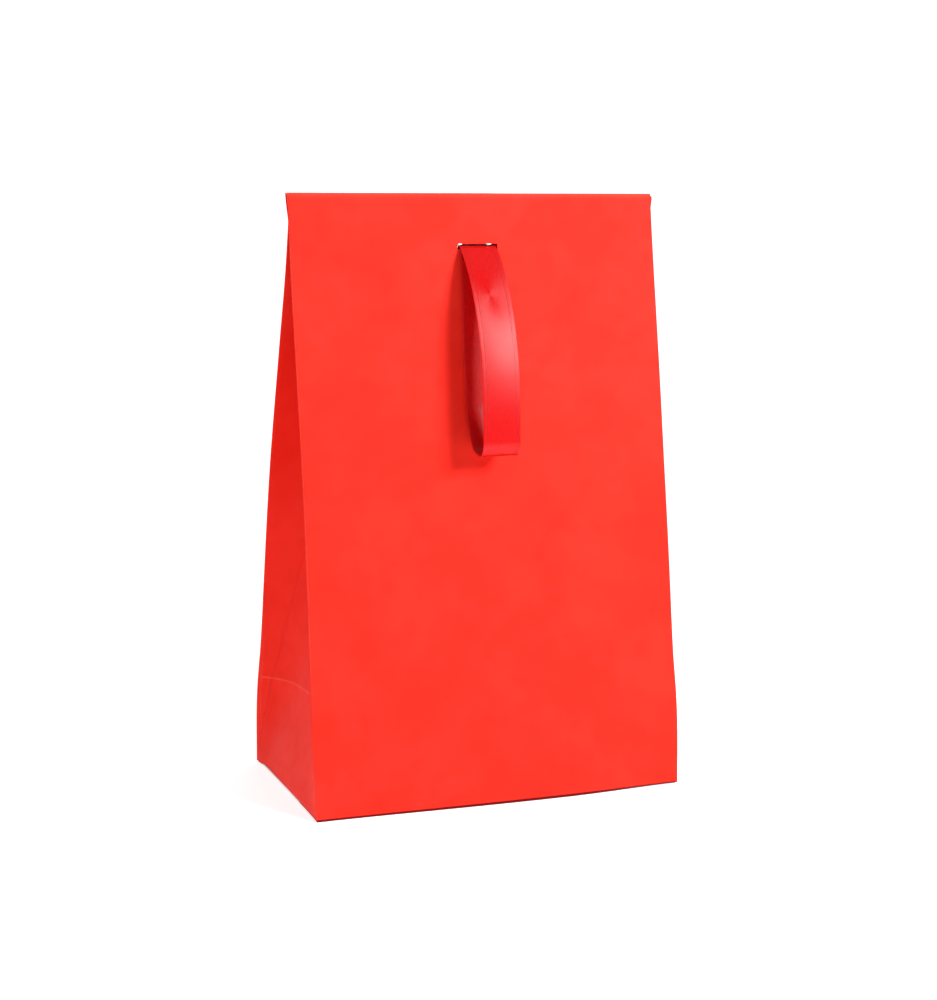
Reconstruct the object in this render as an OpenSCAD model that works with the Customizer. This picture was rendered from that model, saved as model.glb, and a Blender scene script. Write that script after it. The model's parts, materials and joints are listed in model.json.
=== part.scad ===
// Paper gift bag. The tops of its front and back panels meet, so the bag stands
// like a tent, and its side gussets fold inwards. A satin ribbon loop comes out
// of a slot near the top of the front panel.
// All sizes are millimetres. +X is right, +Y is back and +Z is up. The origin is
// the centre of the base, on the surface that the bag stands on. The bag is shut.

/* [Bag] */
// Width of the front and back panels
bag_w = 150; // [130:1:190]
// Depth of the base, from front to back
bag_d = 80; // [66:1:96]
// Length of each panel, from its base crease up to its top edge
panel_l = 235; // [215:1:270]
// Thickness of the bag paper
paper_t = 0.25; // [0.2:0.01:0.3]
// Clearance between layers that move past each other
layer_gap = 0.1; // [0.08:0.01:0.16]

/* [Slot] */
// Distance from the top edge down to the middle of the slot
slot_drop = 20.5; // [16:0.5:30]
// Length of the slot across the panel
slot_w = 16.5; // [16:0.1:20]
// Height of the slot
slot_h = 2; // [1.6:0.1:3]

/* [Ribbon] */
// Width of the ribbon
ribbon_w = 15; // [10:0.5:15.5]
// Thickness of the ribbon
ribbon_t = 0.3; // [0.2:0.02:0.36]
// Length of the hanging loop, from the slot to its bottom fold
loop_l = 80.5; // [65:0.5:110]
// How far the front strand of the loop bows out from the panel
loop_bow = 19.4; // [14:0.2:24]
// Length of the ribbon ends that are glued to the back panel
tail_l = 28; // [27:1:40]
// Width of the paper patch over the ribbon ends
patch_w = 30; // [26:1:40]
// Height of the paper patch
patch_h = 24; // [16:1:25]

/* [Base and seam] */
// Overlap of the front base flap on the rear base flap
flap_lap = 24; // [10:1:30]
// Taper at each end of the front and rear base flaps
flap_taper = 7; // [2:1:15]
// Length of the base flaps that fold in from the sides
end_flap_l = 46; // [30:1:60]
// Width of the side seam flap
seam_w = 12; // [8:1:16]

/* [Hidden] */
$fn = 48;

paper_red = [0.86, 0.17, 0.12];
ribbon_red = [0.72, 0.08, 0.09];
patch_white = [0.93, 0.9, 0.88];

// Room left at each crease between the two pieces that meet there
crease_gap = 0.3;
// Radius of each panel's two top corners
corner_r = 1;

// The panels lean in until the layers between them meet at the top: the seam
// flap, a front fold and a rear fold, with half a clearance to the centre.
fold_depth = 2 * paper_t + layer_gap;
top_reach = fold_depth + paper_t / 2 + layer_gap / 2;
panel_axis_y = bag_d / 2 - paper_t / 2;
panel_axis_z = paper_t / 2;
panel_lean = asin((panel_axis_y - top_reach) / panel_l);

// The gussets hinge on the side flaps, which lie on the two long base flaps.
side_flap_z = 2 * paper_t;
gusset_axis_x = bag_w / 2 - paper_t / 2;
gusset_axis_z = side_flap_z + paper_t / 2;
gusset_inset = bag_d / 2;
gusset_lean = asin(gusset_inset / panel_l);

// Width that each fold gains for each unit of height
fold_slope = gusset_inset / panel_l;
// Clearance along the two slanting creases, where the gusset meets its folds. It
// grows with height, as the gusset narrows a little faster than the gap it fills.
gusset_clear = 0.7;
gusset_taper = 1.05;
gusset_top = 0.88 * panel_l;
// The folds start above the foot of the side edges and follow the slanting crease
// up to the shoulder. Above it they narrow, so that they don't cross when it opens.
fold_foot = 20;
fold_shoulder = 0.8 * panel_l;
fold_share = 0.96;
fold_tip_w = 0.58 * gusset_inset;
fold_axis_z = fold_depth / 2;
fold_axis_x = gusset_axis_x - fold_axis_z;

slot_s = panel_l - slot_drop;
slot_y = panel_axis_y - slot_s * sin(panel_lean);
slot_z = panel_axis_z + slot_s * cos(panel_lean);

// Steps along each curved stretch of ribbon
curve_steps = 16;
// Clearance of the ribbon from the panel, and its centre line's stand-off there
strand_clear = 0.2;
strand_n = paper_t / 2 + strand_clear + ribbon_t / 2;
// Distance between the two strands at the slot
strand_split = 1;

function bezier(p, t) =
    (1 - t) ^ 3 * p[0] + 3 * (1 - t) ^ 2 * t * p[1] + 3 * (1 - t) * t ^ 2 * p[2] + t ^ 3 * p[3];
function curve(p, from = 0) = [for (i = [from:curve_steps]) bezier(p, i / curve_steps)];

// Direction of a route at point i, and the route moved sideways by d
function heading(r, i) =
    let (step = r[min(i + 1, len(r) - 1)] - r[max(i - 1, 0)]) step / norm(step);
function shifted(r, d) = [for (i = [0:len(r) - 1]) let (h = heading(r, i)) r[i] + d * [-h[1], h[0]]];
function reversed(r) = [for (i = [len(r) - 1:-1:0]) r[i]];
// Outline of a strip of thickness t whose centre line is the route r
function strip(r, t) = concat(shifted(r, t / 2), reversed(shifted(r, -t / 2)));

// Stands a flat piece on a side of the base. Its Y axis runs up the piece and
// its Z axis points out of the bag. lean tips the top of the piece inwards.
module upright(turn, reach, lift, lean) {
    rotate([0, 0, turn]) translate([0, -reach, lift]) rotate([90 - lean, 0, 0]) children();
}

module on_front() {
    upright(0, panel_axis_y, panel_axis_z, panel_lean) children();
}

module on_back() {
    upright(180, panel_axis_y, panel_axis_z, panel_lean) children();
}

module paper(t = paper_t) {
    linear_extrude(t, center = true) children();
}

// A profile in Y and Z, drawn out along X
module across(width) {
    rotate([90, 0, 90]) linear_extrude(width, center = true) children();
}

// One whole panel, with small round corners at the top
module panel_outline() {
    half = bag_w / 2;
    difference() {
        translate([-half, crease_gap]) square([bag_w, panel_l - crease_gap]);
        for (side = [-1, 1]) {
            translate([side * half, panel_l]) difference() {
                square(2 * corner_r, center = true);
                translate([-side * corner_r, -corner_r]) circle(corner_r);
            }
        }
    }
}

module front_panel() {
    color(paper_red) on_front() paper() difference() {
        panel_outline();
        translate([0, slot_s]) square([slot_w, slot_h], center = true);
    }
}

module back_panel() {
    color(paper_red) on_back() paper() panel_outline();
}

// The leaning triangle of a side gusset, between its two slanting creases
module gusset(turn) {
    foot = bag_d / 2 - paper_t / 2 - fold_depth - gusset_clear;
    tip = foot - gusset_taper * fold_slope * gusset_top;
    color(paper_red) upright(turn, gusset_axis_x, gusset_axis_z, gusset_lean) paper()
        polygon([[-foot, crease_gap], [foot, crease_gap], [tip, gusset_top], [-tip, gusset_top]]);
}

module left_gusset() {
    gusset(-90);
}

module right_gusset() {
    gusset(90);
}

// The triangle of a gusset that folds back flat against a panel's inner face.
// side is -1 or 1, along the panel's own X axis.
module fold(side) {
    edge = fold_axis_x - crease_gap;
    color(paper_red) translate([0, 0, -fold_depth]) paper()
        polygon([for (p = [[0, fold_foot], [0, panel_l], [fold_tip_w, panel_l],
                           [fold_share * fold_slope * fold_shoulder, fold_shoulder],
                           [fold_share * fold_slope * fold_foot, fold_foot]])
                 [side * (edge - p[0]), p[1]]]);
}

module left_front_fold() {
    on_front() fold(-1);
}

module right_front_fold() {
    on_front() fold(1);
}

module left_rear_fold() {
    on_back() fold(1);
}

module right_rear_fold() {
    on_back() fold(-1);
}

// Strip along the back panel's right edge, glued to its inner face
module side_seam_flap() {
    top_cut = 3;
    color(paper_red) on_back() translate([0, 0, -paper_t]) paper()
        polygon([for (p = [[0, top_cut], [seam_w, top_cut + seam_w / 2],
                           [seam_w, panel_l - top_cut - seam_w / 2], [0, panel_l - top_cut]])
                 [p[0] + crease_gap - bag_w / 2, p[1]]]);
}

// Keeps the part of a base flap that lies inside its tapered outline
module flap_trim(crease_y, edge_y) {
    half = bag_w / 2 - crease_gap / 2;
    intersection() {
        children();
        linear_extrude(4 * paper_t, center = true)
            polygon([[-half, crease_y], [half, crease_y],
                     [half - flap_taper, edge_y], [flap_taper - half, edge_y]]);
    }
}

// Lowest layer of the base
module base_rear_flap() {
    edge_y = -flap_lap / 2;
    crease_y = bag_d / 2;
    color(paper_red) flap_trim(crease_y, edge_y)
        across(bag_w) translate([edge_y, 0]) square([crease_y - edge_y, paper_t]);
}

// Flat at the front, then stepped up by one thickness to lie on the rear flap
module base_front_flap() {
    crease_y = -bag_d / 2;
    edge_y = flap_lap / 2;
    step_y = -flap_lap / 2 - crease_gap;
    step_l = 1;
    color(paper_red) flap_trim(crease_y, edge_y)
        across(bag_w) polygon([[crease_y, 0], [step_y - step_l, 0], [step_y, paper_t],
                               [edge_y, paper_t], [edge_y, 2 * paper_t],
                               [step_y - step_l / 4, 2 * paper_t],
                               [step_y - step_l * 5 / 4, paper_t], [crease_y, paper_t]]);
}

// Side flap with slanted corners, glued on top of the two long flaps
module side_flap(side) {
    end_margin = 1;
    half = bag_d / 2 - end_margin;
    corner = end_flap_l / 3;
    outer = bag_w / 2 - crease_gap / 2;
    color(paper_red) translate([0, 0, side_flap_z]) linear_extrude(paper_t)
        polygon([for (p = [[0, -half], [end_flap_l - corner, -half], [end_flap_l, corner - half],
                           [end_flap_l, half - corner], [end_flap_l - corner, half], [0, half]])
                 [side * (outer - p[0]), p[1]]]);
}

module base_left_flap() {
    side_flap(-1);
}

module base_right_flap() {
    side_flap(1);
}

// Route of the loop as [distance down from the slot, distance out of the panel]
bow_route = [[-strand_split / 2, strand_n], [0.17 * loop_l, 0.67 * loop_bow],
             [0.45 * loop_l, 1.06 * loop_bow], [0.94 * loop_l, 0.96 * loop_bow]];
turn_route = [bow_route[3], [0.985 * loop_l, 0.94 * loop_bow],
              [1.01 * loop_l, 0.84 * loop_bow], [0.998 * loop_l, 0.72 * loop_bow]];
return_route = [turn_route[3], [0.975 * loop_l, 0.4 * loop_bow],
                [0.9 * loop_l, strand_n], [0.75 * loop_l, strand_n]];
loop_route = concat(curve(bow_route), curve(turn_route, 1), curve(return_route, 1),
                    [[strand_split / 2, strand_n]]);

module ribbon_loop() {
    color(ribbon_red) on_front() across(ribbon_w)
        polygon([for (p = strip(loop_route, ribbon_t)) [slot_s - p[0], p[1]]]);
}

// The two ribbon ends run from the slot straight to the back panel, turn down
// and lie on its inner face, one on the other.
module ribbon_tails() {
    // Size of the soft turn from level to hanging
    bend = 3;
    color(ribbon_red) across(ribbon_w) for (layer = [0, 1]) {
        // Clear distance of this layer's centre line from the back panel
        rise = (layer + 0.5) * ribbon_t + paper_t / 2;
        height = slot_z + (0.5 - layer) * (ribbon_t + layer_gap);
        lean_y = slot_y - rise / cos(panel_lean);
        wall = function (drop) [lean_y + drop * sin(panel_lean), slot_z - drop * cos(panel_lean)];
        route = concat([[-slot_y - paper_t / 2, height]],
                       curve([[lean_y - bend, height], [lean_y - bend / 2, height],
                              wall(bend / 3 + layer * ribbon_t), wall(bend)]),
                       [wall(tail_l)]);
        polygon(strip(route, ribbon_t));
    }
}

// Paper patch that holds the ribbon ends, raised in the middle to clear them
module ribbon_patch() {
    side_room = 0.5;
    slope_w = 1;
    cover_past_end = 1;
    half = patch_w / 2;
    raised = ribbon_w / 2 + side_room;
    flat = raised + slope_w;
    foot_y = slot_s - tail_l - cover_past_end;
    color(patch_white) on_back() translate([0, foot_y, -paper_t / 2]) rotate([-90, 0, 0])
        linear_extrude(patch_h)
            polygon([[-half, 0], [-flat, 0], [-raised, 2 * ribbon_t], [raised, 2 * ribbon_t],
                     [flat, 0], [half, 0], [half, paper_t], [flat, paper_t],
                     [raised, 2 * ribbon_t + paper_t], [-raised, 2 * ribbon_t + paper_t],
                     [-flat, paper_t], [-half, paper_t]]);
}

base_front_flap();
base_rear_flap();
base_left_flap();
base_right_flap();
front_panel();
back_panel();
left_gusset();
right_gusset();
left_front_fold();
left_rear_fold();
right_front_fold();
right_rear_fold();
side_seam_flap();
ribbon_loop();
ribbon_tails();
ribbon_patch();
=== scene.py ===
import json
import math

import bmesh
import bpy
import numpy as np
from mathutils import Matrix, Vector, noise


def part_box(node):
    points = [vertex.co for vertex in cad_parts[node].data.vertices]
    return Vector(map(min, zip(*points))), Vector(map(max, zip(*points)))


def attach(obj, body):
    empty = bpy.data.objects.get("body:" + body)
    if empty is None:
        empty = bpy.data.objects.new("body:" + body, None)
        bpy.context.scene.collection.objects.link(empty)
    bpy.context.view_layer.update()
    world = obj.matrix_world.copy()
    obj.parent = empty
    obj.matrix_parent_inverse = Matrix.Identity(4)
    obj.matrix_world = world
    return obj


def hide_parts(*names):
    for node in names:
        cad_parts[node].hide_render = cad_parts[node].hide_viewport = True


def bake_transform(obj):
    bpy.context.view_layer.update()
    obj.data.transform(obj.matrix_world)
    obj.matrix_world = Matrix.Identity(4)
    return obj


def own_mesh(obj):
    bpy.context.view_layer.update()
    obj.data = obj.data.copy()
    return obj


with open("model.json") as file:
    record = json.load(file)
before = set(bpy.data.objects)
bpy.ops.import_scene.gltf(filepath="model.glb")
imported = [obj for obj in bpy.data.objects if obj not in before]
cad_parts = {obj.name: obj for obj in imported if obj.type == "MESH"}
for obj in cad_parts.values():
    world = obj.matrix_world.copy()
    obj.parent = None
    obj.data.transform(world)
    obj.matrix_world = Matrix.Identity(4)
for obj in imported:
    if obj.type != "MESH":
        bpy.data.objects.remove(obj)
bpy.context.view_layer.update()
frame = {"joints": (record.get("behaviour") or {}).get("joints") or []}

# ---------------------------------------------------------------- driving sizes
MM = 0.001
JOINTS = {j["name"]: j for j in frame["joints"]}
panel_joint = JOINTS["front_panel_hinge"]
gusset_joint = JOINTS["right_gusset_hinge"]
fold_joint = JOINTS["right_front_fold_crease"]
swing_joint = JOINTS["ribbon_loop_swing"]

LEAN = math.radians(panel_joint["range_deg"][1])
GUSSET_LEAN = math.radians(gusset_joint["range_deg"][1])
AXIS_Y = -panel_joint["pos_m"][1]
AXIS_Z = panel_joint["pos_m"][2]
GUSSET_X = gusset_joint["pos_m"][0]
GUSSET_Z = gusset_joint["pos_m"][2]
HALF_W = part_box("front_panel")[1].x
HALF_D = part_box("base_rear_flap")[1].y
PAPER_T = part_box("base_rear_flap")[1].z
PANEL_L = (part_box("front_panel")[1].z - AXIS_Z) / math.cos(LEAN)
PANEL_L -= PAPER_T / 2 * math.tan(LEAN)
FOLD_DEPTH = 2 * (GUSSET_X - fold_joint["pos_m"][0])
ROLL_R = FOLD_DEPTH / 2

UP = Vector((0, math.sin(LEAN), math.cos(LEAN)))
OUT = Vector((0, -math.cos(LEAN), math.sin(LEAN)))
SLOT = Vector(swing_joint["pos_m"])
SLOT_S = (SLOT - Vector((0, -AXIS_Y, AXIS_Z))).dot(UP)
RIBBON_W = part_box("ribbon_loop")[1].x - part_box("ribbon_loop")[0].x
RIBBON_T = 0.3 * MM


def smooth(x, low, high):
    """0 below low, 1 above high, and a smooth ramp between them."""
    t = np.clip((np.asarray(x, float) - low) / (high - low), 0, 1)
    return t * t * (3 - 2 * t)


def hump(x, middle, reach):
    """A round bump of height 1 that fades to 0 at middle - reach and middle + reach."""
    t = np.clip(np.abs(np.asarray(x, float) - middle) / reach, 0, 1)
    return (1 - t * t) ** 2


def wander(u, v, size, seed):
    """Smooth noise from -1 to 1, with features of about that size."""
    return noise.noise(Vector((u / size + seed * 7.3, v / size - seed * 3.1, seed)))


# ---------------------------------------------------------------- camera
def make_camera():
    data = bpy.data.cameras.new("camera")
    camera = bpy.data.objects.new("camera", data)
    bpy.context.scene.collection.objects.link(camera)
    bpy.context.scene.camera = camera
    data.sensor_width = 36
    data.lens = 75.18
    data.clip_start, data.clip_end = 0.05, 20
    yaw, pitch, roll = (math.radians(a) for a in (21.768, -10.345, 0.960))
    ahead = Vector((math.sin(yaw) * math.cos(pitch), math.cos(yaw) * math.cos(pitch), math.sin(pitch)))
    right = Vector((math.cos(yaw), -math.sin(yaw), 0))
    above = right.cross(ahead)
    tilted_right = math.cos(roll) * right + math.sin(roll) * above
    tilted_up = math.cos(roll) * above - math.sin(roll) * right
    turn = Matrix((tilted_right, tilted_up, -ahead)).transposed()
    camera.matrix_world = Matrix.Translation((-0.30109, -0.75338, 0.25998)) @ turn.to_4x4()


# ---------------------------------------------------------------- materials
class Nodes:
    """A short way to write a material's node tree."""

    def __init__(self, name):
        self.material = bpy.data.materials.new(name)
        self.material.use_nodes = True
        self.tree = self.material.node_tree
        self.shader = next(n for n in self.tree.nodes if n.type == "BSDF_PRINCIPLED")

    def add(self, kind, settings=None, **inputs):
        node = self.tree.nodes.new("ShaderNode" + kind)
        for key, value in (settings or {}).items():
            setattr(node, key, value)
        for key, value in inputs.items():
            self.put(node, key.replace("_", " "), value)
        return node

    def put(self, node, key, value):
        socket = node.inputs[key]
        if isinstance(value, bpy.types.NodeSocket):
            self.tree.links.new(value, socket)
        else:
            socket.default_value = value

    def set(self, **inputs):
        for key, value in inputs.items():
            self.put(self.shader, key.replace("_", " "), value)

    def flat(self):
        """Position on the flat sheet, in metres: X across and Y along."""
        return self.add("UVMap", {"uv_map": "Flat"}).outputs["UV"]

    def noise(self, at, scale, detail=2.0, roughness=0.5):
        node = self.add("TexNoise", Vector=at, Scale=scale, Detail=detail, Roughness=roughness)
        return node.outputs["Fac"]

    def ramp(self, value, low, high, start=0.3, end=0.7):
        node = self.add("MapRange", {"interpolation_type": "SMOOTHSTEP"}, Value=value)
        ends = {"From Min": start, "From Max": end, "To Min": low, "To Max": high}
        for key, number in ends.items():
            self.put(node, key, number)
        return node.outputs["Result"]

    def mix(self, share, first, second):
        node = self.add("Mix", {"data_type": "RGBA"})
        for index, value in ((0, share), (6, first), (7, second)):
            self.put(node, index, value)
        return node.outputs[2]

    def times(self, first, second):
        node = self.add("Math", {"operation": "MULTIPLY"})
        self.put(node, 0, first)
        self.put(node, 1, second)
        return node.outputs[0]

    def attribute(self, name):
        return self.add("Attribute", {"attribute_name": name}).outputs["Fac"]

    def bump(self, height, distance, strength=1.0, under=None):
        node = self.add("Bump", Strength=strength, Distance=distance, Height=height)
        if under is not None:
            self.put(node, "Normal", under)
        return node.outputs["Normal"]


def rgb(r, g, b):
    return (r, g, b, 1.0)


def red_paper():
    """Coated red paper: even colour, a soft gloss, pale rubbed creases and a foot painted dark as shade.
    """
    m = Nodes("red_coated_paper")
    at = m.flat()
    blotch = m.noise(at, 34, 2.0)
    patch = m.noise(at, 120, 3.0)
    grain = m.noise(at, 1500, 4.0, 0.6)
    colour = m.mix(m.ramp(blotch, 0.0, 1.0), rgb(0.81, 0.023, 0.013), rgb(0.85, 0.029, 0.018))
    colour = m.mix(m.ramp(patch, 0.0, 0.35, 0.42, 0.72), colour, rgb(0.79, 0.019, 0.009))
    colour = m.mix(m.ramp(grain, 0.0, 0.2, 0.45, 0.8), colour, rgb(0.92, 0.035, 0.02))
    # painted shade: where the attribute is below zero, at the foot, the paper is painted near black in
    # place of the contact shadow
    foot_shade = m.ramp(m.attribute("wear_and_shade"), 1.0, 0.0, -1.0, -0.2)
    colour = m.mix(foot_shade, colour, rgb(0.14, 0.003, 0.002))
    rub = m.times(m.attribute("wear_and_shade"), m.ramp(grain, 0.25, 1.0, 0.3, 0.7))
    colour = m.mix(rub, colour, rgb(0.95, 0.14, 0.10))
    rough = m.ramp(patch, 0.44, 0.50)
    peel = m.bump(m.noise(at, 420, 3.0), 0.00006, 0.4)
    tooth = m.bump(grain, 0.00003, 0.6, peel)
    m.set(Base_Color=colour, Roughness=rough, Normal=tooth)
    m.put(m.shader, "Specular IOR Level", 0.03)
    return m.material


def white_paper(name="white_paper_back", tone=(0.80, 0.77, 0.74)):
    """The uncoated side of the paper and its cut edges: off-white, with fibres."""
    m = Nodes(name)
    at = m.flat()
    fibre = m.noise(at, 900, 5.0, 0.65)
    cloud = m.noise(at, 60, 2.0)
    darker = rgb(*(c * 0.88 for c in tone))
    colour = m.mix(m.ramp(fibre, 0.0, 1.0), darker, rgb(*tone))
    colour = m.mix(m.ramp(cloud, 0.0, 0.3), colour, rgb(*(c * 0.95 for c in tone)))
    tooth = m.bump(fibre, 0.00006, 0.7)
    m.set(Base_Color=colour, Roughness=m.ramp(fibre, 0.8, 0.92), Normal=tooth)
    m.put(m.shader, "Specular IOR Level", 0.3)
    return m.material


def red_satin():
    """Satin ribbon: fine warp threads along it, faint ribs across it and darker flecks."""
    m = Nodes("red_satin")
    at = m.flat()
    stretch = m.add("Mapping", Vector=at)
    stretch.inputs["Scale"].default_value = (9.0, 1.0, 1.0)
    warp = m.noise(stretch.outputs["Vector"], 420, 3.0, 0.6)
    fleck = m.noise(at, 1700, 3.0, 0.7)
    cloud = m.noise(at, 70, 2.0)
    colour = m.mix(m.ramp(warp, 0.0, 1.0), rgb(0.46, 0.0008, 0.001), rgb(0.64, 0.002, 0.003))
    where = m.times(m.ramp(fleck, 0.0, 0.85, 0.52, 0.66), m.ramp(cloud, 0.15, 1.0, 0.4, 0.6))
    colour = m.mix(where, colour, rgb(0.30, 0.001, 0.002))
    colour = m.mix(m.attribute("wear_and_shade"), colour, rgb(0.80, 0.035, 0.035))
    weft = m.add("TexWave", {"wave_type": "BANDS", "bands_direction": "Y"}, Vector=at, Scale=620.0)
    ribs = m.bump(weft.outputs["Fac"], 0.00002, 0.15)
    threads = m.bump(warp, 0.00005, 0.6, ribs)
    m.set(Base_Color=colour, Roughness=m.ramp(fleck, 0.30, 0.44), Normal=threads)
    m.put(m.shader, "Specular IOR Level", 0.24)
    m.put(m.shader, "Anisotropic", 0.6)
    return m.material


def dark_thread():
    """Twisted thread in the ribbon's two woven lines."""
    m = Nodes("dark_red_thread")
    at = m.flat()
    twist = m.noise(at, 2600, 2.0)
    colour = m.mix(m.ramp(twist, 0.0, 1.0), rgb(0.12, 0.001, 0.002), rgb(0.26, 0.002, 0.003))
    m.set(Base_Color=colour, Roughness=m.ramp(twist, 0.5, 0.7), Normal=m.bump(twist, 0.00004))
    return m.material


def pale_floor():
    """White paper sweep. It glows a little, more towards its far end."""
    m = Nodes("pale_floor")
    at = m.add("TexCoord").outputs["Object"]
    depth = m.add("SeparateXYZ", Vector=at).outputs["Y"]
    tone = m.mix(m.noise(at, 3.0, 1.0), rgb(0.93, 0.93, 0.93), rgb(0.95, 0.95, 0.95))
    glow = m.ramp(depth, 0.62, 0.85, 0.25, 1.2)
    m.set(Base_Color=tone, Roughness=0.9)
    m.put(m.shader, "Specular IOR Level", 0.1)
    m.put(m.shader, "Emission Color", rgb(1, 1, 1))
    m.put(m.shader, "Emission Strength", glow)
    return m.material


# The wear-and-shade attribute runs from this, for the foot painted dark as contact shade, past 0 for
# plain paper to 1 for rubbed
PAINTED_SHADE = -1.0
RED, WHITE, SATIN, THREAD = red_paper(), white_paper(), red_satin(), dark_thread()
PATCH = white_paper("patch_paper", (0.86, 0.83, 0.79))


# ---------------------------------------------------------------- sheets
def grid_normals(p):
    along = np.gradient(p, axis=0)
    across = np.gradient(p, axis=1)
    n = np.cross(across, along)
    length = np.linalg.norm(n, axis=2, keepdims=True)
    return n / np.maximum(length, 1e-12)


class Sheet:
    """A grid of points on the middle of a sheet, with its normals and its flat layout.

    Rows run along the sheet and columns across it. The normal points out of the bag."""

    def __init__(self, points, flat=None, normals=None, wear_and_shade=None):
        self.p = np.asarray(points, float)
        self.n = grid_normals(self.p) if normals is None else normals
        self.flat = self.p[:, :, [0, 2]] if flat is None else np.asarray(flat, float)
        self.wear_and_shade = np.zeros(self.p.shape[:2]) if wear_and_shade is None else wear_and_shade

    def part(self, rows, cols):
        return Sheet(self.p[rows, cols], self.flat[rows, cols], self.n[rows, cols], self.wear_and_shade[rows, cols])


def solid(name, sheets, thickness, faces, gaps=None, shape=None):
    """One object from one or more sheets, each given its real thickness and its own rim.

    faces are the materials of the outer face, the inner face and the rim. gaps(i, j) leaves
    out the cell at row i and column j. shape(sheet) gives the two faces' own stand-offs."""
    verts, polygons, kinds, flats, wear_and_shade_values = [], [], [], [], []
    for sheet in sheets:
        rows, cols = sheet.p.shape[:2]
        plain = np.full((rows, cols), thickness / 2)
        off = (plain, -plain) if shape is None else shape(sheet)
        base = len(verts)
        for side in (0, 1):
            verts.extend(map(tuple, (sheet.p + off[side][:, :, None] * sheet.n).reshape(-1, 3)))
            flats.extend(map(tuple, sheet.flat.reshape(-1, 2)))
            wear_and_shade_values.extend(sheet.wear_and_shade.ravel() if side == 0 else np.zeros(rows * cols))
        kept = {
            (i, j)
            for i in range(rows - 1)
            for j in range(cols - 1)
            if gaps is None or not gaps(i, j)
        }

        def at(i, j, side, base=base, rows=rows, cols=cols):
            return base + side * rows * cols + i * cols + j

        for i, j in sorted(kept):
            ring = ((i, j), (i, j + 1), (i + 1, j + 1), (i + 1, j))
            polygons.append([at(*c, 0) for c in ring])
            polygons.append([at(*c, 1) for c in reversed(ring)])
            kinds += [0, 1]
            beyond = ((i - 1, j), (i, j + 1), (i + 1, j), (i, j - 1))
            for k, cell in enumerate(beyond):
                if cell not in kept:
                    a, b = ring[k], ring[(k + 1) % 4]
                    polygons.append([at(*b, 0), at(*a, 0), at(*a, 1), at(*b, 1)])
                    kinds.append(2)
    mesh = flat_mesh(name, verts, polygons, flats, faces)
    mesh.polygons.foreach_set("material_index", kinds)
    # per point: below zero where the foot is painted dark as shade, above zero for rubbed paper
    wear_and_shade_layer = mesh.attributes.new("wear_and_shade", "FLOAT", "POINT")
    wear_and_shade_layer.data.foreach_set("value", np.array(wear_and_shade_values, np.float32))
    drop_loose(mesh)
    mesh.set_sharp_from_angle(angle=math.radians(50))
    piece = bpy.data.objects.new(name, mesh)
    bpy.context.scene.collection.objects.link(piece)
    return piece


def flat_mesh(name, verts, polygons, flats, materials):
    """A smooth mesh that knows where each of its points lies on the flat sheet."""
    mesh = bpy.data.meshes.new(name)
    mesh.from_pydata(verts, [], polygons)
    for material in materials:
        mesh.materials.append(material)
    mesh.polygons.foreach_set("use_smooth", [True] * len(polygons))
    layer = mesh.uv_layers.new(name="Flat")
    corner = np.zeros(len(mesh.loops), np.int64)
    mesh.loops.foreach_get("vertex_index", corner)
    layer.data.foreach_set("uv", np.array(flats, np.float32)[corner].ravel())
    return mesh


def drop_loose(mesh):
    """Removes the points that no face uses, such as those inside the slot."""
    b = bmesh.new()
    b.from_mesh(mesh)
    loose = [v for v in b.verts if not v.link_faces]
    bmesh.ops.delete(b, geom=loose, context="VERTS")
    b.to_mesh(mesh)
    b.free()


def spaced(low, high, count, *extra):
    """Even steps from low to high, with the extra values in their places."""
    return np.unique(np.round(np.concatenate([np.linspace(low, high, count), extra]), 7))


# ---------------------------------------------------------------- panel shapes
# How far each panel's side edges bow out, as (height share, reach share, millimetres)
FRONT_LEFT_BOW = ((0.50, 0.45, 3.3), (0.12, 0.14, 0.6))
FRONT_RIGHT_BOW = ((0.34, 0.52, 2.6), (0.10, 0.14, 1.4), (0.72, 0.2, 0.5))
BACK_LEFT_BOW = ((0.36, 0.44, 4.6), (0.60, 0.26, 1.5), (0.10, 0.14, 2.2), (0.88, 0.12, -1.0))
BACK_RIGHT_BOW = ((0.40, 0.45, 3.0), (0.10, 0.14, 0.8))
# Shallow swells and dents in the front panel: (across, up, reach, rise), in millimetres
DENTS = ((-20, 150, 40, 0.35), (48, 95, 34, -0.3), (-48, 96, 30, 0.3), (30, 188, 26, -0.25),
         (5, 40, 36, 0.35), (-30, 205, 22, 0.2), (60, 150, 24, 0.25), (-66, 190, 14, -0.2))
# The front panel's foot bows out, most at a point right of its middle
FOOT_BOW, FOOT_BOW_X = 2.6 * MM, 26 * MM
# The back panel's top stands to the right of the front one's, and its right corner is lower
SKEW, DROP = 1.3 * MM, 1.4 * MM
# The curl at a panel's foot, and how many rows it takes
FOOT_R, FOOT_TURNS = 0.45 * MM, 6
# Rows added just above the foot, where the painted shade at the foot fades out
FOOT_ROWS = (0.3 * MM, 0.7 * MM)
# Half the width of a panel between the rolls of its side creases
EDGE_U = HALF_W - ROLL_R
SLOT_HALF_W, SLOT_HALF_H = 8.25 * MM, 1.0 * MM
# Materials of a piece's outer face, inner face and rim
PAPER_FACES = (RED, WHITE, WHITE)
FOLD_FACES = (RED, WHITE, RED)


def bow(v, humps):
    """How far a side edge stands out of its straight line at height v."""
    return sum(size * MM * hump(v / PANEL_L, middle, reach) for middle, reach, size in humps)


def foot_bow(u):
    """How far the front panel's bottom crease stands out of its straight line."""
    reach = HALF_W - FOOT_BOW_X if u > FOOT_BOW_X else HALF_W + FOOT_BOW_X
    return FOOT_BOW * float(hump(u, FOOT_BOW_X, reach))


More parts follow.
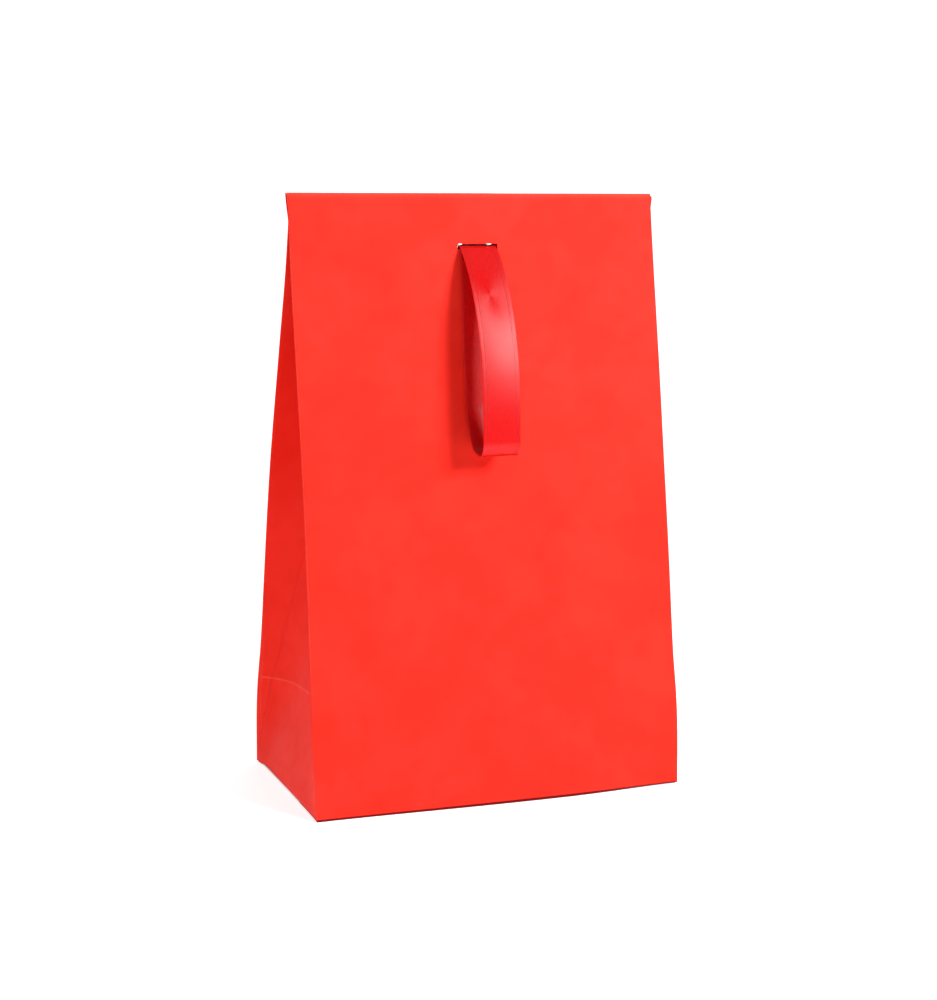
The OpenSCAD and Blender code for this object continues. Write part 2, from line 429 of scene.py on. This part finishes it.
def bent_corner(u, v):
    """The front panel's lower left corner is pushed in along a slanting line."""
    inside = np.maximum(1 - (u + HALF_W) / (15 * MM) - v / (30 * MM), 0)
    return -1.5 * MM * inside * smooth(v, 0, 9 * MM) * smooth(u, -HALF_W, 6 * MM - HALF_W)


def panel_bulge(u, v, left, right, seed, dents=()):
    """How far out of its plane the panel stands at u across and v up, in metres."""
    share = (u / HALF_W + 1) / 2
    edge = (1 - share) * bow(v, left) + share * bow(v, right)
    belly = 1.2 * MM * hump(v / PANEL_L, 0.42, 0.5) * (1 - (2 * share - 1) ** 2)
    near_edge = np.minimum(smooth(HALF_W - abs(u), 0, 8 * MM), smooth(PANEL_L - v, 0, 10 * MM))
    fade = near_edge * smooth(v, 0, 10 * MM)
    ripple = 0.13 * MM * wander(u, v, 0.036, seed) + 0.008 * MM * wander(u, v, 0.011, seed + 5)
    pits = sum(d * MM * hump(u, a * MM, r * MM) * hump(v, b * MM, r * MM) for a, b, r, d in dents)
    return edge + belly + fade * (ripple + pits)


def front_bulge(u, v):
    """How far the front panel stands out of its plane. Its foot bows, and a corner is bent."""
    foot = foot_bow(u) * (1 - smooth(v, 0, 90 * MM)) + bent_corner(u, v)
    return panel_bulge(u, v, FRONT_LEFT_BOW, FRONT_RIGHT_BOW, 1, DENTS) + foot


def back_bulge(u, v):
    """How far the back panel stands out of its plane."""
    return panel_bulge(u, v, BACK_LEFT_BOW, BACK_RIGHT_BOW, 2)


def panel_point(u, v, out, back):
    """The point at u across and v up a panel, and at out from its plane."""
    y = -AXIS_Y + v * UP.y + out * OUT.y
    z = AXIS_Z + v * UP.z + out * OUT.z
    return (u, -y if back else y, z)


def panel_sheet(back, across, along):
    """The whole panel. It curls under at its foot, where it turns into a base flap."""
    bulge = back_bulge if back else front_bulge
    skew, drop = (SKEW, DROP) if back else (0.0, 0.0)
    rows, flats, wear_and_shade_values = [], [], []
    for turn in np.linspace(-math.pi / 2, 0, FOOT_TURNS + 1)[:-1]:
        row = []
        for u in across:
            y = -HALF_D + PAPER_T / 2 + FOOT_R * (1 - math.cos(turn)) - (0 if back else foot_bow(u))
            z = PAPER_T / 2 + FOOT_R * (1 + math.sin(turn))
            row.append((widened(u, 0), -y if back else y, z))
        rows.append(row)
        flats.append([(u, turn * FOOT_R) for u in across])
        # the curl under the foot is painted dark as shade
        wear_and_shade_values.append([PAINTED_SHADE] * len(across))
    start = (FOOT_R + PAPER_T / 2) / math.cos(LEAN)
    for v in along:
        row = []
        height = start + v * (PANEL_L - start) / PANEL_L
        top = (height / PANEL_L) ** 2
        for u in across:
            out = bulge(u, height)
            flare = (0, 0) if back else corner_flare(u, height)
            x, y, z = panel_point(widened(u, v) + skew * top, height, out + flare[1], back)
            row.append((x + flare[0], y, z - drop * top * smooth(u, 0, HALF_W)))
        rows.append(row)
        flats.append([(u, v) for u in across])
        rubbed = 0.35 * smooth(v, PANEL_L - 0.7 * MM, PANEL_L)
        # the lowest rows are painted dark as shade, fading out from 0.6 to 1.2 mm up
        out_of_foot_shade = smooth(height, 0.6 * MM, 1.2 * MM)
        wear_and_shade_values.append([rubbed + PAINTED_SHADE * (1 - out_of_foot_shade)] * len(across))
    sheet = Sheet(rows, flats, wear_and_shade=np.array(wear_and_shade_values, float))
    if back:
        sheet.n = -sheet.n
    return sheet


def widened(u, v):
    """The sides stand a little wider than the crease lines, most near the foot."""
    near_foot = hump(v / PANEL_L, 0.14, 0.16)
    near_top = smooth(v, 0.8 * PANEL_L, PANEL_L)
    spread = 0.2 * MM + 0.3 * MM * near_foot - 0.3 * MM * near_top
    return u * (1 + float(spread) / HALF_W)


def corner_flare(u, v):
    """The front panel's top left corner turns out a little."""
    near = smooth(v, PANEL_L - 14 * MM, PANEL_L) * smooth(-u, HALF_W - 14 * MM, HALF_W)
    return -0.8 * MM * near, 0.5 * MM * near


def make_slot_fibres():
    """Two tufts of torn white paper on the upper edge of the slot."""
    sheets = []
    for middle, length, drop in ((-7.4, 2.1, 1.3), (4.6, 2.2, 0.0)):
        rows = []
        for t in np.linspace(-1, 1, 15):
            u = (middle + t * length / 2) * MM
            swell = math.sqrt(max(1 - t * t, 0.0))
            fall = drop * MM * smooth(-t, 0.25, 1.0) ** 2
            rows.append([])
            for k in np.linspace(0, 1, 5):
                frayed = 0.12 * MM * wander(u, k, 0.0006, 21)
                v = SLOT_S + SLOT_HALF_H - fall + (0.5 * k - 0.26) * MM * swell + frayed
                out = float(front_bulge(u, v))
                lift = PAPER_T / 2 + 0.22 * MM * swell * math.sin(math.pi * (0.2 + 0.7 * k))
                rows[-1].append(panel_point(u, v, out + lift, False))
        sheets.append(Sheet(rows))
    piece = solid("slot_edge_fibres", sheets, 0.1 * MM, (PATCH,) * 3)
    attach(piece, "front_panel")


def make_front_panel():
    inner_u = EDGE_U - 1 * MM
    across = spaced(-EDGE_U, EDGE_U, 81, -SLOT_HALF_W, SLOT_HALF_W, -inner_u, inner_u)
    slot_v = [SLOT_S - SLOT_HALF_H, SLOT_S + SLOT_HALF_H]
    along = spaced(0, PANEL_L, 121, *FOOT_ROWS, *slot_v)
    sheet = panel_sheet(False, across, along)

    def in_slot(i, j):
        """Whether the cell at row i and column j lies in the slot."""
        v = (along[i - FOOT_TURNS] + along[i - FOOT_TURNS + 1]) / 2 if i >= FOOT_TURNS else -1
        return abs(v - SLOT_S) < SLOT_HALF_H and abs(across[j] + across[j + 1]) / 2 < SLOT_HALF_W

    piece = solid("front_panel_paper", [sheet], PAPER_T, FOLD_FACES, in_slot)
    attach(piece, "front_panel")
    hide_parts("front_panel")


def make_back_panel():
    across = spaced(-EDGE_U, EDGE_U, 61)
    along = spaced(0, PANEL_L, 101, *FOOT_ROWS)
    sheet = panel_sheet(True, across, along)
    piece = solid("back_panel_paper", [sheet], PAPER_T, FOLD_FACES)
    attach(piece, "back_panel")
    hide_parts("back_panel")


# ---------------------------------------------------------------- gussets
# How far the gusset's foot bends inwards, and where along y it does so most
KINK_IN, KINK_Y = 0.9 * MM, 29 * MM
# The storage crease: its height at the rear and at the front, and how far it stands out
CREASE_REAR, CREASE_FRONT, CREASE_OUT = 37 * MM, 41 * MM, 1.3 * MM
# How far a gusset's middle hangs inwards of its plane
SAG = 3.4 * MM
# Columns of the roll at the crease, the fold, the gusset's own half and its hidden strip
ROLL_COLS, FOLD_COLS, OWN_COLS, UNDER_COLS = 7, 16, 16, 3
# Columns over which a fold thins out at its cut edge
FEATHER_COLS = 4
# How far the cut edges of a fold and a gusset run over each other, at rest and when open
LAP, OPEN_LAP = 0.5 * MM, 4 * MM
# Share of the gusset's height at which its own triangle stops
GUSSET_TOP = 0.975


def kink(y, z):
    """The gusset's foot bends inwards, most at a point near its rear end."""
    reach = np.where(y < KINK_Y, KINK_Y + HALF_D, HALF_D - KINK_Y)
    share = np.clip(1 - np.abs(y - KINK_Y) / reach, 0, 1)
    fade_height = 26 * MM
    return KINK_IN * share * np.exp(-np.maximum(z, 0) / fade_height)


def run_along(path):
    """The distance along a path at each of its points."""
    return np.concatenate([[0], np.cumsum(np.linalg.norm(np.diff(path, axis=0), axis=1))])


def even(path, count):
    """The path again, as that many points at equal steps."""
    run = run_along(path)
    at = np.linspace(0, run[-1], count)
    return np.stack([np.interp(at, run, path[:, k]) for k in range(2)], axis=1)


def half_slice(z, y_panel):
    """Half of the gusset's outline at height z, as points (distance in from the side, y).

    The first part is the fold that lies back on the panel, the second is the gusset's own
    half, and the third is the hidden strip of the gusset that lies under the fold."""
    width = max(z - GUSSET_Z, 0) * math.tan(GUSSET_LEAN)
    sag = SAG * float(smooth(z, 0, 34 * MM) * (1 - smooth(z, 110 * MM, 170 * MM)))
    inset = PAPER_T / 2 + math.hypot(width + sag, 0.4 * MM)
    flat_y = max(y_panel - FOLD_DEPTH, 0.02 * MM)
    hug = float(smooth(z, 95 * MM, 165 * MM))
    reach = min(1.2 * inset + 12 * MM, 0.85 * flat_y)
    span = inset - ROLL_R
    corners = [(ROLL_R, flat_y),
               (ROLL_R + (0.32 + 0.5 * hug) * span, flat_y - 0.12 * (1 - hug) * reach),
               (inset, flat_y - (0.45 - 0.3 * hug) * reach), (inset, flat_y - reach)]
    curve = [bezier(corners, t) for t in np.linspace(0, 1, 60)]
    curve.append(np.array([inset, 0.0]))
    curve = np.array(curve)
    run = run_along(curve)
    cut = min(width + LAP, run[-1] - LAP)
    split = np.array([np.interp(cut, run, curve[:, k]) for k in range(2)])
    roll = np.array([(ROLL_R * (1 - math.sin(a)), y_panel - ROLL_R * (1 - math.cos(a)))
                     for a in np.linspace(0, math.pi, ROLL_COLS)[:-1]])
    fold = np.concatenate([roll, even(np.vstack([curve[run < cut], split]), FOLD_COLS)])
    own = even(np.vstack([split, curve[run > cut]]), OWN_COLS)
    room = max(flat_y - split[1] - 0.2 * MM, 0.05 * MM)
    strip = min(max(HALF_D - cut - split[1] + OPEN_LAP, 1 * MM), room)
    under = np.array([(split[0] + 0.3 * MM * t, split[1] + strip * t)
                      for t in np.linspace(1, 0, UNDER_COLS + 1)[:-1]])
    return fold, own, under


def gusset_sheets(side):
    """The folded gusset on one side, divided at its slanting creases, and its rows' heights."""
    bows = (FRONT_LEFT_BOW, BACK_LEFT_BOW) if side < 0 else (FRONT_RIGHT_BOW, BACK_RIGHT_BOW)
    top = AXIS_Z + PANEL_L * math.cos(LEAN)
    near_crease = np.linspace(CREASE_REAR - 2 * MM, CREASE_FRONT + 2 * MM, 33)
    heights = spaced(0.45 * MM, top, 141, 0.9 * MM, 1.8 * MM, *near_crease)
    grids = {"front": [], "middle": [], "rear": []}
    for z in heights:
        v = (z - AXIS_Z) / math.cos(LEAN)
        halves = []
        for end, humps in zip((-1, 1), bows):
            y_panel = AXIS_Y - (z - AXIS_Z) * math.tan(LEAN) + bow(v, humps) * math.cos(LEAN)
            halves.append([part * (1, end) for part in half_slice(z, y_panel)])
        front, rear = halves
        lean_over = SKEW * (v / PANEL_L) ** 2
        middle = np.concatenate([front[2], front[1], rear[1][::-1][1:], rear[2][::-1]])
        for name, path in (("front", front[0]), ("middle", middle), ("rear", rear[0][::-1])):
            a, y = path[:, 0], path[:, 1]
            a = a + kink(y, z)
            x = side * (HALF_W - a) + lean_over * smooth(y, 0, 0.5 * MM)
            x = x * (widened(HALF_W, v) / HALF_W)
            if side < 0 and name == "front":
                x = x + corner_flare(-HALF_W, v)[0]
            # the rear half follows the back panel's lower right corner
            sunk = max(side, 0) * DROP * (v / PANEL_L) ** 2 * smooth(y, 0, 0.5 * MM)
            grids[name].append(np.stack([x, y, z - sunk], axis=1))
    return {name: dressed(np.array(rows), side) for name, rows in grids.items()}, heights


def dressed(p, side):
    """Adds the storage crease, small waves, wear and a foot painted dark as shade to one part of a
    gusset.
    """
    n = side_normals(p, side)
    y, z = p[:, :, 1], p[:, :, 2]
    inset = np.abs(HALF_W - np.abs(p[:, :, 0]))
    line = CREASE_REAR + (CREASE_FRONT - CREASE_REAR) * (HALF_D - y) / (2 * HALF_D)
    off = z - line
    ridge = np.where(off > 0, np.exp(-np.abs(off) / (16 * MM)), np.clip(1 + off / (30 * MM), 0, 1))
    away = smooth(inset, 0.2 * MM, 1.5 * MM)
    ripple = np.vectorize(lambda a, b: wander(a, b, 0.026, 3 + side))(y, z)
    lift = CREASE_OUT * ridge + 0.15 * MM * ripple * smooth(z, 6 * MM, 20 * MM)
    q = p + n * (lift * away)[:, :, None]
    rubbed = 0.4 * hump(inset, 0, 0.3 * MM) + 0.5 * hump(off, 0, 0.6 * MM) * away
    # the foot is painted dark as shade, fading out from 0.5 to 1.1 mm up
    wear_and_shade = rubbed + PAINTED_SHADE * (1 - smooth(z, 0.5 * MM, 1.1 * MM))
    run = np.cumsum(np.linalg.norm(np.diff(q, axis=1, prepend=q[:, :1]), axis=2), axis=1)
    return Sheet(q, np.stack([run + side, z], axis=2), side_normals(q, side), wear_and_shade)


def side_normals(p, side):
    """Normals of a sheet that runs round a gusset from front to back, out of the bag."""
    return side * grid_normals(p)


def feathered(where):
    """Thins a fold at its cut edge, so that no step shows where it overlaps the gusset."""

    def shape(sheet):
        cols = sheet.p.shape[1]
        from_cut = np.arange(cols)[::-1] if where == "front" else np.arange(cols)
        thin = np.clip(1 - from_cut / FEATHER_COLS, 0, 1)
        outer = PAPER_T / 2 + 0.05 * MM * thin
        inner = -PAPER_T / 2 + (PAPER_T - 0.02 * MM) * thin
        rows = sheet.p.shape[0]
        return np.tile(outer, (rows, 1)), np.tile(inner, (rows, 1))

    return shape


def make_gusset(side):
    sheets, heights = gusset_sheets(side)
    word = "left" if side < 0 else "right"
    last = int(np.searchsorted(heights, heights[-1] * GUSSET_TOP))
    middle = gusset_foot(sheets["middle"].part(slice(0, last), slice(None)), side)
    piece = solid(word + "_gusset_paper", [middle], PAPER_T, FOLD_FACES)
    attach(piece, word + "_gusset")
    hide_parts(word + "_gusset")
    for where, panel in (("front", "front_panel"), ("rear", "back_panel")):
        node = f"{word}_{where}_fold"
        piece = solid(node + "_paper", [sheets[where]], PAPER_T, FOLD_FACES,
                      shape=feathered(where))
        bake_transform(piece)
        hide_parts(node)


def gusset_foot(sheet, side):
    """Adds the turn at the gusset's foot, where it becomes a base flap. The turn is painted dark as
    shade.
    """
    turn_r = 0.3 * MM
    first = sheet.p[0]
    rows = []
    for turn in np.linspace(-math.pi / 2, 0, 4)[:-1]:
        row = first.copy()
        row[:, 0] -= side * turn_r * (1 - math.cos(turn))
        row[:, 2] += turn_r * math.sin(turn)
        rows.append(row)
    p = np.concatenate([np.array(rows), sheet.p])
    flat = np.concatenate([[sheet.flat[0]] * len(rows), sheet.flat])
    wear_and_shade = np.concatenate([[np.full(len(first), PAINTED_SHADE)] * len(rows), sheet.wear_and_shade])
    n = side_normals(p, side)
    n[len(rows) + 1:] = sheet.n[1:]
    return Sheet(p, flat, n, wear_and_shade)


# ---------------------------------------------------------------- base and seam
def plate(node, near, far, height):
    """A base flap: a grid between two edges of its outline, at a height that may step."""
    rows = []
    shares = np.linspace(0, 1, 41)
    for t in np.linspace(0, 1, 33):
        a, b = np.array(near(t)), np.array(far(t))
        rows.append([(*(a + (b - a) * s), height(*(a + (b - a) * s))) for s in shares])
    p = np.array(rows)
    if node == "base_front_flap":
        near_crease = smooth(-p[:, :, 1], HALF_D - 12 * MM, HALF_D - 0.5 * MM)
        p[:, :, 1] -= near_crease * np.vectorize(foot_bow)(p[:, :, 0])
    n = grid_normals(p)
    n *= -np.sign(n[:, :, 2:])
    sheet = Sheet(p, p[:, :, :2].copy(), n)
    piece = solid(node + "_paper", [sheet], PAPER_T * 0.96, PAPER_FACES)
    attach(piece, "base")
    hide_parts(node)


def make_base():
    """The four flaps. The front one steps up where it laps over the rear one."""
    flap_taper = 7 * MM
    step_low, step_high = -13.4 * MM, -12.2 * MM
    for node, sign in (("base_rear_flap", 1), ("base_front_flap", -1)):
        low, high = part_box(node)
        edge_y = low.y if sign > 0 else high.y
        crease_y = (high.y if sign > 0 else low.y) - sign * 0.4 * MM

        def side_at(t, side, edge_y=edge_y, crease_y=crease_y):
            y = crease_y + (edge_y - crease_y) * t
            half = HALF_W - 0.3 * MM - flap_taper * t
            return (side * (half - float(kink(y, 0.0))), y)

        def height(x, y, sign=sign):
            step = smooth(y, step_low, step_high) if sign < 0 else 0
            return PAPER_T / 2 + PAPER_T * step

        plate(node, lambda t: side_at(t, -1), lambda t: side_at(t, 1), height)
    for node, side in (("base_left_flap", -1), ("base_right_flap", 1)):
        low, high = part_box(node)
        length = high.x - low.x
        half = high.y

        def edge_at(t, end, side=side, length=length, half=half):
            a = t * length
            corner = length / 3
            y = end * (half - max(0.0, a - (length - corner)))
            return (side * (HALF_W - 0.45 * MM - a - float(kink(y, 0.0)) * (1 - t)), y)

        plate(node, lambda t: edge_at(t, -1), lambda t: edge_at(t, 1), lambda x, y: 2.5 * PAPER_T)


def make_seam_flap():
    """Glued strip up the inside of the back panel's right edge."""
    low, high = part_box("side_seam_flap")
    width, cut, end_gap = high.x - low.x, 9 * MM, 3 * MM
    along = spaced(end_gap + 0.2 * MM, PANEL_L - end_gap - 0.2 * MM, 90)
    rows, flats = [], []
    for v in along:
        taper = max(0.0, 1 - min(v - end_gap, PANEL_L - end_gap - v) / (cut - end_gap))
        edge = HALF_W - 0.55 * MM
        row = []
        for t in np.linspace(0, 1, 13):
            u = edge - (width - 0.3 * MM) * t * (1 - 0.98 * taper)
            out = back_bulge(u, v) - PAPER_T * 1.02
            top = (v / PANEL_L) ** 2
            x, y, z = panel_point(widened(u, v) + SKEW * top, v, out, True)
            row.append((x, y, z - DROP * top * float(smooth(u, 0, HALF_W))))
        rows.append(row)
        flats.append([(r[0], v) for r in row])
    sheet = Sheet(rows, flats)
    facing_in = np.sign(sheet.n[:, :, 1:2])
    sheet.n = -sheet.n * facing_in
    piece = solid("side_seam_flap_paper", [sheet], PAPER_T * 0.9, PAPER_FACES)
    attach(piece, "back_panel")
    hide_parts("side_seam_flap")


# ---------------------------------------------------------------- ribbon
# How far the loop hangs down and stands out, and how far off the panel its flat strand lies
LOOP_L, LOOP_BOW, STRAND_N = 80.5 * MM, 19.4 * MM, 0.35 * MM
# Heights of the two strands in the slot, below its middle
STRAND_FRONT, STRAND_REAR = 0.15 * MM, 0.62 * MM
STITCH_INSET = 1.6 * MM


def bezier(corners, t):
    """The point at share t of the cubic curve with these four corners."""
    p = [np.array(q, float) for q in corners]
    s = 1 - t
    return s ** 3 * p[0] + 3 * s ** 2 * t * p[1] + 3 * s * t ** 2 * p[2] + t ** 3 * p[3]


def loop_route():
    """Centre line of the loop as (down from the slot, out from the panel)."""
    bowed = [(STRAND_FRONT, STRAND_N), (0.17 * LOOP_L, 0.67 * LOOP_BOW),
             (0.45 * LOOP_L, 1.06 * LOOP_BOW), (0.94 * LOOP_L, 0.96 * LOOP_BOW)]
    turned = [bowed[3], (0.985 * LOOP_L, 0.94 * LOOP_BOW),
              (1.01 * LOOP_L, 0.84 * LOOP_BOW), (0.998 * LOOP_L, 0.72 * LOOP_BOW)]
    back = [turned[3], (0.975 * LOOP_L, 0.4 * LOOP_BOW),
            (0.9 * LOOP_L, STRAND_N), (0.75 * LOOP_L, STRAND_N)]
    route = [bezier(bowed, t) for t in np.linspace(0, 1, 70)]
    route += [bezier(turned, t) for t in np.linspace(0, 1, 16)[1:]]
    route += [bezier(back, t) for t in np.linspace(0, 1, 36)[1:]]
    end = np.array([STRAND_REAR, STRAND_N])
    route += [route[-1] + (end - route[-1]) * t for t in np.linspace(0, 1, 40)[1:]]
    into_slot = -0.2 * MM
    route.insert(0, np.array([STRAND_FRONT, into_slot]))
    route.append(np.array([STRAND_REAR, into_slot]))
    return np.array(route)


def loop_sheet():
    """The loop as a sheet, and its length. The strip drifts to the left and is a little cupped."""
    route = loop_route()
    run = run_along(route)
    total = run[-1]
    across = np.linspace(-0.5, 0.5, 25)
    heading = np.gradient(route, axis=0)
    heading /= np.linalg.norm(heading, axis=1, keepdims=True)
    rows, flats, wear_and_shade_values = [], [], []
    for (s, n), (hs, hn), length in zip(route, heading, run):
        share = length / total
        drift = -1.7 * MM * hump(share, 0.62, 0.36)
        cup = 0.35 * MM * hump(share, 0.25, 0.24)
        row = []
        for c in across:
            u = c * RIBBON_W
            bend = -cup * (2 * c) ** 2
            ripple = 0.06 * MM * wander(u, length, 0.014, 9) * smooth(n, 0.8 * MM, 3 * MM)
            side = bend + float(ripple)
            # the strip's outer side is on the left of its heading, seen along +X
            ds, dn = s - hn * side, n + hs * side
            lift = float(front_bulge(u, SLOT_S - ds)) * (1 - float(smooth(n, 1 * MM, 10 * MM)))
            row.append(panel_point(u + drift, SLOT_S - ds, PAPER_T / 2 + dn + lift, False))
        rows.append(row)
        flats.append([(c * RIBBON_W, length) for c in across])
        edge = np.abs(across) * RIBBON_W
        wear_and_shade_values.append(0.5 * smooth(edge, RIBBON_W / 2 - 0.9 * MM, RIBBON_W / 2))
    return Sheet(rows, flats, wear_and_shade=np.array(wear_and_shade_values)), total


def selvedge(sheet):
    """The ribbon is a little thicker in its two woven edges."""
    across = np.abs(sheet.flat[:, :, 0])
    half = RIBBON_T / 2 * (1 + 0.5 * hump(across, RIBBON_W / 2 - 0.45 * MM, 0.7 * MM))
    return half, -half


def stitch_lines(sheet, name):
    """Two fine lines of thread that dip in and out of the ribbon along its edges."""
    verts, faces, flats = [], [], []
    sides, pitch, radius = 6, 1.15 * MM, 0.11 * MM
    at = (RIBBON_W / 2 - STITCH_INSET) / RIBBON_W + 0.5
    end_gap = 1.5 * MM
    cols = sheet.p.shape[1] - 1
    lengths = sheet.flat[:, 0, 1]
    samples = np.arange(end_gap, lengths[-1] - end_gap, pitch / 6)
    for share in (1 - at, at):
        c = share * cols
        j, t = int(c), c - int(c)
        line = sheet.p[:, j] * (1 - t) + sheet.p[:, j + 1] * t
        normal = sheet.n[:, j] * (1 - t) + sheet.n[:, j + 1] * t
        p = np.stack([np.interp(samples, lengths, line[:, k]) for k in range(3)], axis=1)
        n = np.stack([np.interp(samples, lengths, normal[:, k]) for k in range(3)], axis=1)
        for face in (1, -1):
            wave = np.cos(2 * math.pi * samples / pitch)[:, None]
            centre = p + face * n * (RIBBON_T / 2 + radius * (0.9 * wave - 0.55))
            ahead = np.gradient(centre, axis=0)
            ahead /= np.linalg.norm(ahead, axis=1, keepdims=True)
            side = np.cross(ahead, n)
            base = len(verts)
            for k in range(len(samples)):
                for i in range(sides):
                    a = 2 * math.pi * i / sides
                    q = centre[k] + radius * (math.cos(a) * side[k] + math.sin(a) * n[k])
                    verts.append(tuple(q))
                    flats.append((a * radius, samples[k]))
            for k in range(len(samples) - 1):
                for i in range(sides):
                    a, b = base + k * sides + i, base + k * sides + (i + 1) % sides
                    faces.append([a, b, b + sides, a + sides])
            faces.append([base + i for i in range(sides)][::-1])
            last = base + (len(samples) - 1) * sides
            faces.append([last + i for i in range(sides)])
    mesh = flat_mesh(name, verts, faces, flats, (THREAD,))
    piece = bpy.data.objects.new(name, mesh)
    bpy.context.scene.collection.objects.link(piece)
    return piece


def draw_in(piece):
    """Gives the piece its own copy of its mesh."""
    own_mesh(piece)


def make_loop():
    sheet, total = loop_sheet()
    piece = solid("ribbon_loop_satin", [sheet], RIBBON_T, (SATIN,) * 3, shape=selvedge)
    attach(piece, "ribbon_loop")
    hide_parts("ribbon_loop")
    threads = stitch_lines(sheet, "ribbon_loop_threads")
    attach(threads, "ribbon_loop")
    draw_in(piece)
    draw_in(threads)


def make_tails():
    """The two ribbon ends, from the slot to the back panel and down its inner face."""
    hinge_out = 1.2 * MM + PAPER_T / 2
    slot_y = SLOT.y + hinge_out * math.cos(LEAN)
    slot_z = SLOT.z - hinge_out * math.sin(LEAN)
    drop = (slot_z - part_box("ribbon_tails")[0].z) / math.cos(LEAN)
    wall_bulge = float(back_bulge(0, (slot_z - AXIS_Z) / math.cos(LEAN)))
    join_y = 2.0 * MM
    across = np.linspace(-0.5, 0.5, 17)
    halves = {"front": [], "rear": []}
    lengths = {"front": 0.0, "rear": 0.0}
    for layer in (0, 1):
        rise = (layer + 0.5) * RIBBON_T * 1.05 + PAPER_T / 2
        height = slot_z + (0.5 - layer) * (RIBBON_T + 0.1 * MM)
        wall_y = -slot_y - rise / math.cos(LEAN)

        def wall(d, wall_y=wall_y):
            return np.array([wall_y + d * math.sin(LEAN), slot_z - d * math.cos(LEAN)])

        first = [np.array([slot_y - 0.1 * MM + (join_y - slot_y) * t, height])
                 for t in np.linspace(0, 1, 25)]
        bend = [first[-1], np.array([wall_y - 0.6 * MM, height]),
                wall(0.7 * MM + layer * RIBBON_T), wall(3 * MM)]
        second = [bezier(bend, t) for t in np.linspace(0, 1, 20)]
        second += [wall(3 * MM + (drop - 3 * MM) * t) for t in np.linspace(0, 1, 30)[1:]]
        run = 0.0
        for word, route in (("front", first), ("rear", second)):
            rows, flats = [], []
            for k, (y, z) in enumerate(route):
                run += float(np.linalg.norm(route[k] - route[k - 1])) if k else 0.0
                shift = wall_bulge * float(smooth(y, join_y, wall_y))
                rows.append([(c * RIBBON_W, y + shift, z) for c in across])
                flats.append([(c * RIBBON_W, run) for c in across])
            lengths[word] += float(np.linalg.norm(np.diff(route, axis=0), axis=1).sum())
            halves[word].append(Sheet(rows, flats))
    for word, body, end in (("front", "front_panel", slot_y), ("rear", "back_panel", -slot_y)):
        name = f"ribbon_tails_{word}_satin"
        piece = solid(name, halves[word], RIBBON_T * 0.9, (SATIN,) * 3)
        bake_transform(piece)
        if word == "rear":
            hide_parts("ribbon_tails")


def make_patch():
    """Paper patch glued over the ribbon ends, raised where it covers them."""
    low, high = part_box("ribbon_patch")
    foot = (low.z - AXIS_Z) / math.cos(LEAN) + 0.3 * MM
    tall = (high.z - low.z) / math.cos(LEAN) - 0.6 * MM
    half = high.x
    rows, flats = [], []
    for v in np.linspace(foot, foot + tall, 33):
        row = []
        for u in np.linspace(-half, half, 61):
            rise = 2.15 * RIBBON_T * float(smooth(RIBBON_W / 2 + 1.3 * MM - abs(u), 0, 1.1 * MM))
            out = back_bulge(u, v) - PAPER_T * 1.05 - rise
            edge = 0.25 * MM * wander(u, v, 0.006, 12)
            row.append(panel_point(u + edge, v + edge, out, True))
        rows.append(row)
        flats.append([(r[0], v) for r in row])
    sheet = Sheet(rows, flats)
    sheet.n = -sheet.n * np.sign(sheet.n[:, :, 1:2])
    piece = solid("ribbon_patch_paper", [sheet], PAPER_T * 0.9, (PATCH,) * 3)
    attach(piece, "back_panel")
    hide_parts("ribbon_patch")


# ---------------------------------------------------------------- stage
def make_stage():
    """A floor that sweeps up into a backdrop, with its edges out of the picture."""
    width, near, depth, rise, sweep = 6.0, -3.0, 3.5, 4.0, 1.2
    profile = [(near, 0.0), (depth - sweep, 0.0)]
    profile += [(depth - sweep + sweep * math.sin(a), sweep - sweep * math.cos(a))
                for a in np.linspace(0, math.pi / 2, 24)[1:]]
    profile.append((depth, rise))
    verts = [(x, y, z) for y, z in profile for x in (-width, width)]
    faces = [(2 * i, 2 * i + 1, 2 * i + 3, 2 * i + 2) for i in range(len(profile) - 1)]
    mesh = bpy.data.meshes.new("floor")
    mesh.from_pydata(verts, [], faces)
    mesh.polygons.foreach_set("use_smooth", [True] * len(faces))
    mesh.materials.append(pale_floor())
    floor = bpy.data.objects.new("floor", mesh)
    bpy.context.scene.collection.objects.link(floor)


def lamp(name, place, aim, size, power):
    data = bpy.data.lights.new(name, "AREA")
    data.shape = "RECTANGLE"
    data.size, data.size_y = size
    data.energy = power
    lamp_object = bpy.data.objects.new(name, data)
    lamp_object.location = place
    lamp_object.rotation_mode = "QUATERNION"
    lamp_object.rotation_quaternion = (Vector(aim) - Vector(place)).to_track_quat("-Z", "Y")
    bpy.context.scene.collection.objects.link(lamp_object)


def make_light():
    middle = (0, 0, 0.12)
    lamp("key", (0.45, -0.64, 0.58), middle, (0.3, 0.3), 10)
    lamp("fill", (-1.3, -0.35, 0.45), middle, (1.6, 1.2), 5)
    lamp("overhead", (0, -0.1, 1.7), (0, 0, 0), (1.4, 1.4), 5)
    world = bpy.data.worlds.new("studio")
    world.use_nodes = True
    sky = world.node_tree.nodes["Background"]
    sky.inputs["Color"].default_value = rgb(1, 1, 1)
    sky.inputs["Strength"].default_value = 0.13
    bpy.context.scene.world = world
    bpy.context.scene.view_settings.view_transform = "Standard"


make_camera()
make_front_panel()
make_slot_fibres()
make_back_panel()
make_gusset(-1)
make_gusset(1)
make_base()
make_seam_flap()
make_loop()
make_tails()
make_patch()
make_stage()
make_light()
